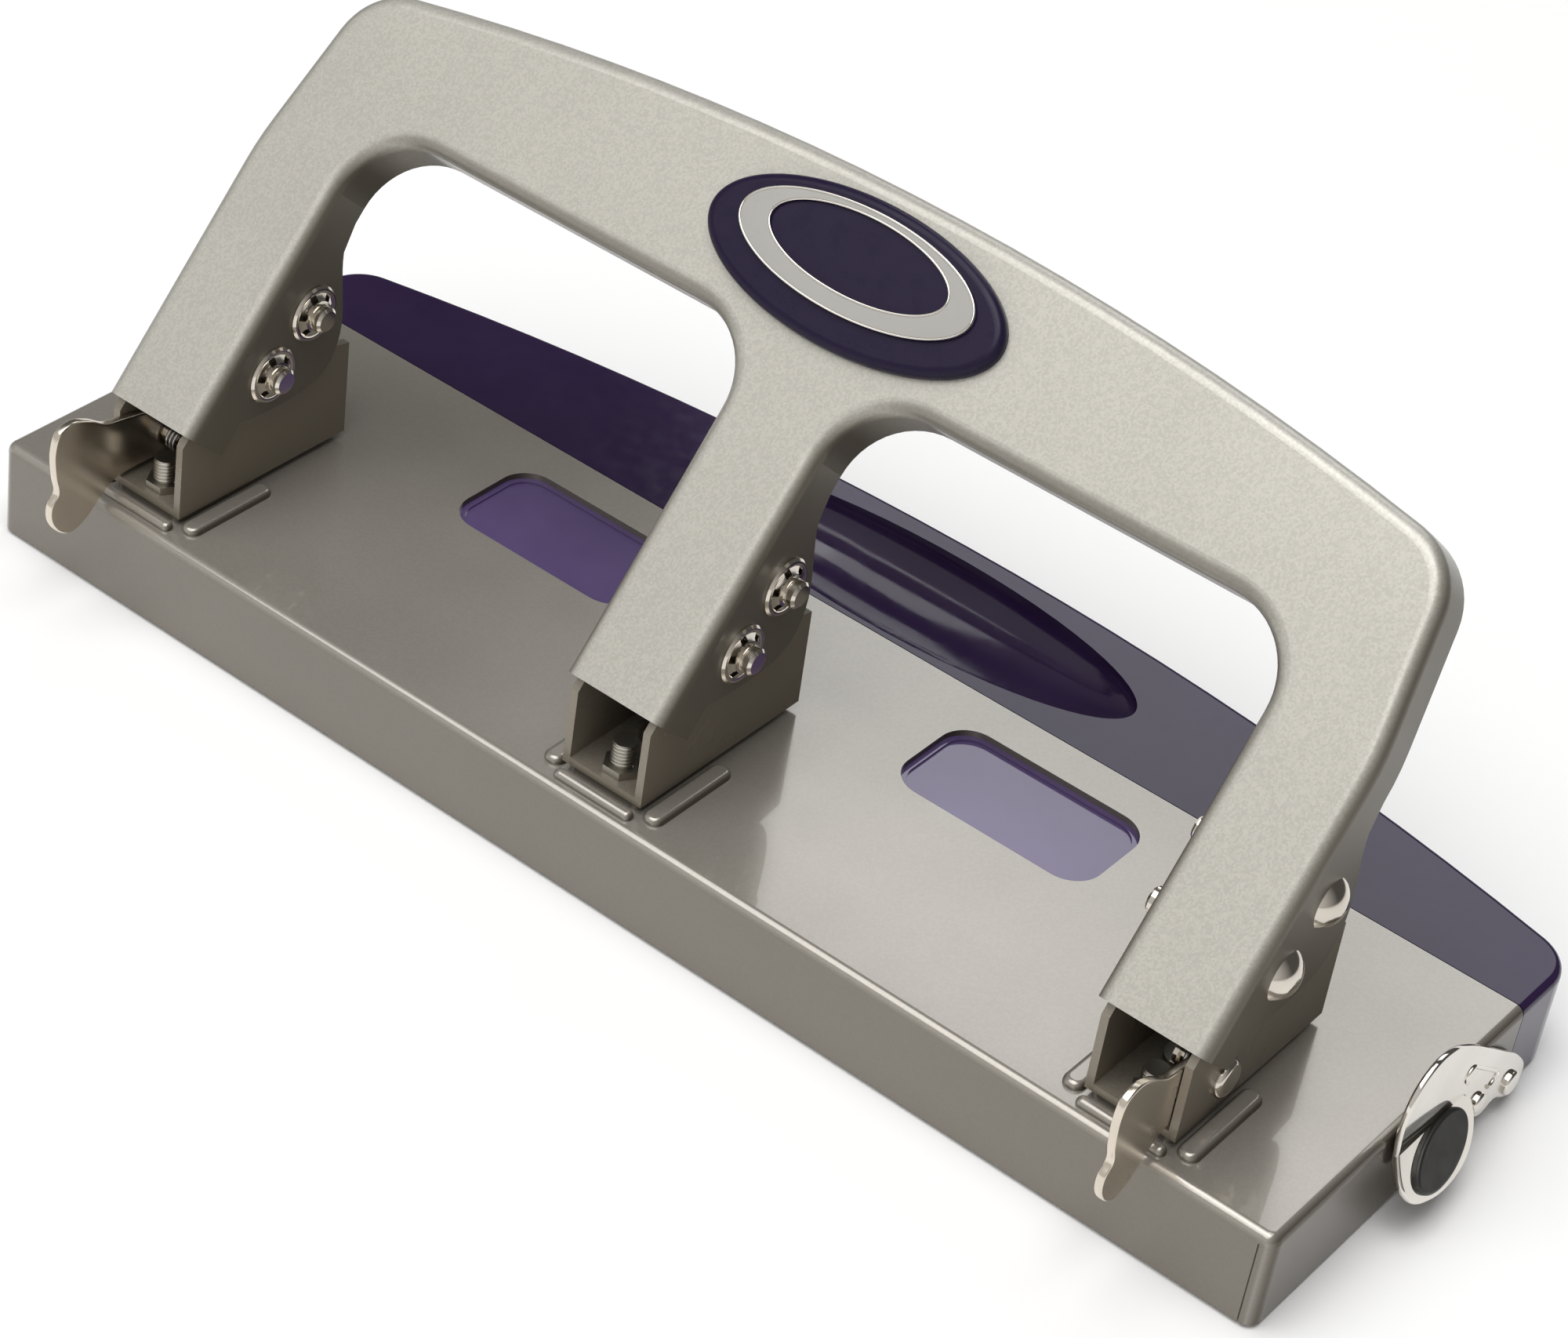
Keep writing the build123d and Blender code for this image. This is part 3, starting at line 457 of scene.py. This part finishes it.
def push_nuts(kind):
    """Star push nuts on the tips of one row of pins."""
    bm = bmesh.new()
    for head, side in NUT_SIDE.items():
        low, high = corners(f"{kind}_pin_{head}")
        centre = (low + high) / 2
        tip = high.x if side > 0 else low.x
        origin = Vector((tip - side * PIN_TIP, centre.y, centre.z))
        add_ring(bm, origin, side, [(NUT_RADIUS - inset, height) for inset, height in NUT_RIM])
        add_ring(bm, origin, side, [(NUT_BORE + outset, height) for outset, height in NUT_COLLAR])
        for tooth in range(NUT_TEETH):
            add_tooth(bm, origin, side, tau * (tooth + FIRST_TOOTH) / NUT_TEETH)
    bmesh.ops.recalc_face_normals(bm, faces=bm.faces)
    mesh = bpy.data.meshes.new(f"star_nuts_{kind}")
    bm.to_mesh(mesh)
    bm.free()
    piece = place(mesh.name, mesh, NICKEL, "handle", "spring_steel", f"{kind}_push_nuts")
    smooth_by_angle(piece, NUT_CREASE)


def smooth_by_angle(piece, degrees):
    """Keeps edges sharper than the angle crisp."""
    bm = bmesh.new()
    bm.from_mesh(piece.data)
    for edge in bm.edges:
        edge.smooth = len(edge.link_faces) == 2 and edge.calc_face_angle(0) < radians(degrees)
    bm.to_mesh(piece.data)
    bm.free()


for kind in ("pivot", "drive"):
    push_nuts(kind)


# ---- sheet pieces with rounded edges -----------------------------------------
OUTLINE_STEPS = 14
EDGE_STEPS = 4
BORE_POINTS = 40


def smooth_outline(points):
    """Closed centripetal Catmull-Rom curve through the points, as (u, v) pairs."""
    spots = [Vector(point) for point in points]
    count = len(spots)
    curve = []
    for index in range(count):
        before, start, end, after = (spots[(index + shift) % count] for shift in (-1, 0, 1, 2))
        knots = [0.0]
        for first, second in ((before, start), (start, end), (end, after)):
            knots.append(knots[-1] + (second - first).length ** 0.5)
        k0, k1, k2, k3 = knots
        for step in range(OUTLINE_STEPS):
            t = k1 + (k2 - k1) * step / OUTLINE_STEPS
            a1 = before * ((k1 - t) / (k1 - k0)) + start * ((t - k0) / (k1 - k0))
            a2 = start * ((k2 - t) / (k2 - k1)) + end * ((t - k1) / (k2 - k1))
            a3 = end * ((k3 - t) / (k3 - k2)) + after * ((t - k2) / (k3 - k2))
            b1 = a1 * ((k2 - t) / (k2 - k0)) + a2 * ((t - k0) / (k2 - k0))
            b2 = a2 * ((k3 - t) / (k3 - k1)) + a3 * ((t - k1) / (k3 - k1))
            curve.append(b1 * ((k2 - t) / (k2 - k1)) + b2 * ((t - k1) / (k2 - k1)))
    return curve


def add_sheet(bm, curve, origin, across, up, outward, thickness, edge, bore=None):
    """Sheet cut to a closed curve. Its edges are rounded, and it may have a bore of (u, v, radius)."""
    count = len(curve)
    area = sum(curve[i - 1].x * curve[i].y - curve[i].x * curve[i - 1].y for i in range(count))
    sense = 1 if area > 0 else -1
    inward = []
    for index in range(count):
        along = (curve[(index + 1) % count] - curve[index - 1]).normalized()
        inward.append(Vector((-along.y, along.x)) * sense)
    rounds = [(edge * (1 - sin(pi / 2 * step / EDGE_STEPS)), edge * (1 - cos(pi / 2 * step / EDGE_STEPS)))
              for step in range(EDGE_STEPS + 1)]
    levels = rounds + [(inset, thickness - depth) for inset, depth in reversed(rounds)]
    loops = []
    for inset, depth in levels:
        loop = []
        for spot, push in zip(curve, inward):
            flat = spot + push * inset
            loop.append(bm.verts.new(origin + across * flat.x + up * flat.y + outward * depth))
        loops.append(loop)
    for first, second in zip(loops, loops[1:]):
        for i in range(count):
            j = (i + 1) % count
            bm.faces.new((first[i], first[j], second[j], second[i]))
    if bore is None:
        bm.faces.new(list(reversed(loops[0])))
        bm.faces.new(loops[-1])
        return
    u, v, radius = bore
    rims = []
    for loop, depth in ((loops[0], 0.0), (loops[-1], thickness)):
        rim = []
        for step in range(BORE_POINTS):
            turn = tau * step / BORE_POINTS
            rim.append(bm.verts.new(origin + across * (u + radius * cos(turn)) + up * (v + radius * sin(turn))
                                    + outward * depth))
        edges = [bm.edges.new((rim[i - 1], rim[i])) for i in range(BORE_POINTS)]
        edges += [bm.edges.get((loop[i - 1], loop[i])) for i in range(count)]
        bmesh.ops.triangle_fill(bm, edges=edges, use_beauty=True, normal=outward)
        rims.append(rim)
    for i in range(BORE_POINTS):
        bm.faces.new((rims[0][i - 1], rims[0][i], rims[1][i], rims[1][i - 1]))


def finish_sheet(bm, name, material, body, slot_name, limit_nodes, *replaced):
    """Makes the piece, keeps it inside the box of its CAD nodes, and keeps its big faces flat."""
    boxes = [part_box(node_name) for node_name in limit_nodes]
    low = [min(box[0][axis] for box in boxes) for axis in range(3)]
    high = [max(box[1][axis] for box in boxes) for axis in range(3)]
    for vertex in bm.verts:
        for axis in range(3):
            vertex.co[axis] = min(max(vertex.co[axis], low[axis]), high[axis])
    bmesh.ops.recalc_face_normals(bm, faces=bm.faces)
    mesh = bpy.data.meshes.new(name)
    bm.to_mesh(mesh)
    bm.free()
    place(name, mesh, material, body, slot_name, *replaced)
    for polygon in mesh.polygons:
        polygon.use_smooth = len(polygon.vertices) == 4


# Outlines seen along X, in millimetres from the front bottom edge of the base: (towards the paper side, up).
LEVER_SHEET = 0.0015
LEVER_EDGE = 0.00035                 # radius of the rounded edges
LEVER_BORE = (0.0170, 0.0265, 0.00206)   # place and radius of the rivet hole
LEVER_OUTLINE = [
    (5.0, 34.9), (0.5, 35.8), (-3.5, 38.2), (-7.5, 39.6), (-10.8, 38.6), (-12.0, 35.0), (-11.6, 29.5),
    (-10.9, 25.8), (-12.4, 23.6), (-12.4, 20.6), (-10.4, 17.4), (-7.6, 15.9), (-4.2, 16.9), (-1.0, 19.6),
    (2.6, 22.4), (8.0, 23.1), (13.0, 22.9), (17.0, 22.7), (20.6, 24.2), (21.4, 27.6), (19.0, 31.0),
    (13.0, 33.2)]
GUIDE_SHEET = 0.0012
GUIDE_EDGE = 0.00045
GUIDE_OUTLINE = [
    (36.4, 10.0), (34.0, 16.0), (33.4, 22.0), (35.6, 27.8), (40.0, 30.6), (45.0, 30.4), (52.0, 27.0),
    (60.5, 21.0), (68.0, 15.4), (75.0, 10.0), (78.6, 5.4), (77.6, 1.8), (73.6, 1.6), (69.0, 4.0), (64.5, 3.4),
    (59.0, 6.6), (54.0, 8.0), (45.0, 9.0)]

# The thumb tab leans out from the fin; its outline is measured down its own slope.
TAB_OUTLINE = [
    (36.0, -3.0), (33.6, 1.0), (33.0, 4.6), (34.6, 7.6), (38.6, 9.3), (44.0, 9.9), (50.4, 8.6), (54.8, 5.2),
    (56.2, 0.6), (52.0, -3.0), (44.0, -3.6)]
TAB_SLOPE = radians(32.6)
TAB_TOP = 0.0140
TAB_STEP = 0.0005                    # from the fin's outer face to the tab's, at TAB_TOP

# The tongue slides in the base and carries the fin at its outer end.
TONGUE_Y = (0.0480, 0.0600)
TONGUE_Z = (0.0136, 0.0148)
TONGUE_LENGTH = 0.046
TONGUE_LAP = 0.0008                  # tongue past the fin's inner face
TONGUE_EDGE = 0.0001

# Pressed ring round the slot in the fin.
SLOT_CENTRE = (0.0600, 0.0152)
SLOT_LENGTH = 0.0150
SLOT_WIDTH = 0.0030
SLOT_ANGLE = radians(-37.0)
SLOT_STEPS = 48
SLOT_BEAD = 0.0004


def to_metres(points):
    """Outline points from millimetres to metres."""
    return [(u / 1000, v / 1000) for u, v in points]


def hold_down_lever(side_name):
    """Hold-down lever with softly rounded edges."""
    node_name = f"lock_lever_{side_name}"
    left_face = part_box(node_name)[0][0]
    bm = bmesh.new()
    add_sheet(bm, smooth_outline(to_metres(LEVER_OUTLINE)), Vector((left_face, FRONT, PAD_GAP)),
              Y_AXIS, Z_AXIS, X_AXIS, LEVER_SHEET, LEVER_EDGE, LEVER_BORE)
    finish_sheet(bm, f"hold_down_{side_name}", LEVER_NICKEL, f"lock_{side_name}", "lever_nickel",
                 [node_name], node_name)


def slot_path(x):
    """Closed path round the slanted slot, on the fin's outer face."""
    straight = (SLOT_LENGTH - SLOT_WIDTH) / 2
    path = []
    for step in range(SLOT_STEPS + 1):
        turn = tau * step / SLOT_STEPS - pi / 2
        u = SLOT_WIDTH / 2 * cos(turn) + (straight if cos(turn) >= 0 else -straight)
        v = SLOT_WIDTH / 2 * sin(turn)
        y = FRONT + SLOT_CENTRE[0] + u * cos(SLOT_ANGLE) - v * sin(SLOT_ANGLE)
        z = PAD_GAP + SLOT_CENTRE[1] + u * sin(SLOT_ANGLE) + v * cos(SLOT_ANGLE)
        path.append(Vector((x, y, z)))
    return path


def end_guide():
    """Plated end guide: fin, leaning thumb tab, tongue and a pressed ring round its slot."""
    tongue_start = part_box("paper_guide")[0][0]
    start = tongue_start + TONGUE_LENGTH
    bm = bmesh.new()
    add_sheet(bm, smooth_outline(to_metres(GUIDE_OUTLINE)), Vector((start, FRONT, PAD_GAP)),
              Y_AXIS, Z_AXIS, X_AXIS, GUIDE_SHEET, GUIDE_EDGE)
    lean = Vector((cos(TAB_SLOPE), 0, sin(TAB_SLOPE)))
    down = Vector((sin(TAB_SLOPE), 0, -cos(TAB_SLOPE)))
    face = Vector((start + GUIDE_SHEET + TAB_STEP, FRONT, PAD_GAP + TAB_TOP))
    add_sheet(bm, smooth_outline(to_metres(TAB_OUTLINE)), face, Y_AXIS, down, -lean, GUIDE_SHEET, GUIDE_EDGE)
    for vertex in bm.verts:
        vertex.co.x = max(vertex.co.x, start)
    tongue_end = TONGUE_LENGTH + TONGUE_LAP
    tongue = [(0.0, TONGUE_Y[0]), (tongue_end, TONGUE_Y[0]), (tongue_end, TONGUE_Y[1]), (0.0, TONGUE_Y[1])]
    add_sheet(bm, [Vector(point) for point in tongue], Vector((tongue_start, FRONT, PAD_GAP + TONGUE_Z[0])),
              X_AXIS, Y_AXIS, Z_AXIS, TONGUE_Z[1] - TONGUE_Z[0], TONGUE_EDGE)
    slot_ring = wire_mesh("slot_ring", slot_path(start + GUIDE_SHEET), SLOT_BEAD)
    bm.from_mesh(slot_ring)
    bpy.data.meshes.remove(slot_ring)
    finish_sheet(bm, "end_guide", CHROME, "paper_guide", "chrome", ["paper_guide", "guide_thumb_pad"],
                 "paper_guide")


for side_name in SIDE_NAMES:
    hold_down_lever(side_name)
end_guide()


# ---- lever springs and stud threads ------------------------------------------
COIL_WIRE = 0.0004                   # radius of the wire
COIL_OUTER = 0.0028                  # outer radius of the coil
COIL_WIDTH = 0.0028
COIL_TURNS = 3.25
COIL_ARM = (0.0058, 0.003)           # end and start of the straight arm, from the rivet along Y


def lever_spring(side_name, side):
    """Torsion spring round the lever rivet, with a straight arm that leaves it below the rivet."""
    low, high = corners(f"lock_spring_{side_name}")
    y, z = JOINTS[f"lock_{side_name}_tilt"]["pos_m"][1:]
    radius = COIL_OUTER - COIL_WIRE
    inner = low.x + COIL_WIRE if side > 0 else high.x - COIL_WIRE
    path = [Vector((inner, y + reach, z - radius)) for reach in COIL_ARM]
    count = COIL_TURNS * POINTS_PER_TURN
    for index in range(int(count) + 1):
        share = index / count
        angle = -pi / 2 + tau * COIL_TURNS * share
        x = inner + side * share * COIL_WIDTH
        path.append(Vector((x, y + radius * cos(angle), z + radius * sin(angle))))
    name = f"lever_coil_{side_name}"
    place(name, wire_mesh(name, path, COIL_WIRE), SPRING, "base", "spring_steel", f"lock_spring_{side_name}")


for side_name, side in zip(SIDE_NAMES, (-1, 1)):
    lever_spring(side_name, side)


STUD_RADIUS = 0.00205
STUD_TIP = 0.0004                    # plain end above the thread
THREAD_PITCH = 0.0007
THREAD_RIDGE = 0.00022               # radius of the ridge
THREAD_SIDES = 6


def stud_threads():
    """Screw thread on the stud that stands on each channel floor."""
    top = corners("head_studs")[1].z - STUD_TIP
    nut_low, nut_high = corners("head_nuts")
    nut_middle = (nut_low + nut_high) / 2
    bottom = nut_high.z
    turns = (top - bottom) / THREAD_PITCH
    for head in HEAD_NAMES:
        x = middle(f"die_{head}").x + nut_middle.x
        path = []
        for index in range(int(turns * POINTS_PER_TURN) + 1):
            angle = tau * index / POINTS_PER_TURN
            path.append(Vector((x + STUD_RADIUS * cos(angle), nut_middle.y + STUD_RADIUS * sin(angle),
                                bottom + THREAD_PITCH * index / POINTS_PER_TURN)))
        name = f"stud_thread_{head}"
        place(name, wire_mesh(name, path, THREAD_RIDGE, THREAD_SIDES), ZINC, "base", "zinc_steel")


stud_threads()


# ---- bright edges of the badge ring -------------------------------------------
FACE_TILT = radians(49.0)
UP_FACE = Vector((0, cos(FACE_TILT), sin(FACE_TILT)))
OUT_OF_FACE = Vector((0, -sin(FACE_TILT), cos(FACE_TILT)))
RING_THICKNESS = 0.0013
RING_HALF_HEIGHT = 0.0089
CENTRE_THICKNESS = 0.0008
CENTRE_HALF_HEIGHT = 0.0068
OVAL_POINTS = 96
BEAD_RADIUS = 0.00022
BEAD_SIDES = 8


def oval_edge(name, node_name, half_height, lift):
    """Fine bright bead along the edge of an oval that lies on the handle face."""
    low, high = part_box(node_name)
    half_length = (high[0] - low[0]) / 2
    centre = middle(node_name) + OUT_OF_FACE * lift
    bm = bmesh.new()
    loops = []
    for step in range(OVAL_POINTS):
        turn = tau * step / OVAL_POINTS
        spot = centre + Vector((half_length * cos(turn), 0, 0)) + UP_FACE * (half_height * sin(turn))
        outward = (Vector((half_height * cos(turn), 0, 0)) + UP_FACE * (half_length * sin(turn))).normalized()
        angles = (tau * side / BEAD_SIDES for side in range(BEAD_SIDES))
        loops.append([bm.verts.new(spot + BEAD_RADIUS * (cos(angle) * outward + sin(angle) * OUT_OF_FACE))
                      for angle in angles])
    for first, second in zip(loops, loops[1:] + loops[:1]):
        for side in range(BEAD_SIDES):
            after = (side + 1) % BEAD_SIDES
            bm.faces.new((first[side], first[after], second[after], second[side]))
    bmesh.ops.recalc_face_normals(bm, faces=bm.faces)
    mesh = bpy.data.meshes.new(name)
    bm.to_mesh(mesh)
    bm.free()
    place(name, mesh, CHROME, "handle", "bright_ring")


oval_edge("ring_edge_outer", "badge_ring", RING_HALF_HEIGHT, RING_THICKNESS / 2)
oval_edge("ring_edge_inner", "badge_centre", CENTRE_HALF_HEIGHT, RING_THICKNESS - CENTRE_THICKNESS / 2)


# ---- stage, camera and light ----------------------------------------------
FLOOR_HALF = 6.0
FLOOR_TOP = -0.0001
FLOOR_COLOUR = (0.93, 0.93, 0.93, 1)


def floor():
    """Pale matt floor just below the rubber pad."""
    bm = bmesh.new()
    signs = ((-1, -1), (1, -1), (1, 1), (-1, 1))
    bm.faces.new([bm.verts.new((x * FLOOR_HALF, y * FLOOR_HALF, FLOOR_TOP)) for x, y in signs])
    mesh = bpy.data.meshes.new("floor")
    bm.to_mesh(mesh)
    bm.free()
    piece = bpy.data.objects.new("floor", mesh)
    bpy.context.collection.objects.link(piece)
    material, _, shader = new_material("pale_floor")
    set_shader(shader, Base_Color=FLOOR_COLOUR, Roughness=0.85)
    mesh.materials.append(material)


# Camera of the reference view.
CAMERA_PLACE = (0.30849, -0.46280, 0.45172)
CAMERA_AHEAD = Vector((-0.46091, 0.66114, -0.59199))
CAMERA_UP = Vector((-0.45120, 0.39984, 0.79784))
CAMERA_LENS = 93.81                  # millimetres on a 36 mm sensor
CAMERA_SHIFT = (0.0719, -0.0503)


def camera():
    """Camera placed by its right, up and backward directions."""
    data = bpy.data.cameras.new("camera")
    data.sensor_width = 36.0
    data.lens = CAMERA_LENS
    data.shift_x, data.shift_y = CAMERA_SHIFT
    data.clip_end = 50
    item = bpy.data.objects.new("camera", data)
    bpy.context.collection.objects.link(item)
    ahead = CAMERA_AHEAD.normalized()
    right = ahead.cross(CAMERA_UP.normalized()).normalized()
    turn = Matrix((right, right.cross(ahead), -ahead)).transposed().to_4x4()
    item.matrix_world = Matrix.Translation(CAMERA_PLACE) @ turn
    bpy.context.scene.camera = item


def area_light(name, spot, aim, size, power, colour=(1, 1, 1)):
    """Softbox of a width and height in metres, turned to face a point."""
    data = bpy.data.lights.new(name, "AREA")
    data.shape = "RECTANGLE"
    data.size, data.size_y = size
    data.energy = power
    data.color = colour
    item = bpy.data.objects.new(name, data)
    bpy.context.collection.objects.link(item)
    item.location = spot
    item.rotation_euler = (Vector(aim) - Vector(spot)).to_track_quat("-Z", "Y").to_euler()


SKY_COLOUR = (1, 0.985, 0.96, 1)
SKY_SPAN = (-0.7, 0.3)               # from front to back, where the brightness changes


def world(behind, before):
    """Soft grey studio, bright in front of the object and dim behind it."""
    sky = bpy.data.worlds.new("studio")
    sky.use_nodes = True
    tree = sky.node_tree
    coords = tree.nodes.new("ShaderNodeTexCoord")
    parts = tree.nodes.new("ShaderNodeSeparateXYZ")
    tree.links.new(coords.outputs["Generated"], parts.inputs["Vector"])
    light = spread(tree, parts.outputs["Y"], before, behind, *SKY_SPAN)
    back = tree.nodes["Background"]
    back.inputs["Color"].default_value = SKY_COLOUR
    tree.links.new(light, back.inputs["Strength"])
    bpy.context.scene.world = sky


bpy.context.scene.view_settings.view_transform = "Standard"
floor()
camera()
world(behind=0.09, before=0.62)
area_light("key", (-0.15, -0.60, 1.80), aim=(0, 0, 0.03), size=(2.0, 1.6), power=26)
area_light("back", (-0.30, 1.05, 0.95), aim=(-0.08, 0.02, 0.0), size=(0.80, 0.62), power=2.7,
           colour=(0.965, 0.985, 1.0))
area_light("top", (0.1, 0.0, 1.9), aim=(0, 0, 0), size=(1.4, 1.2), power=10)
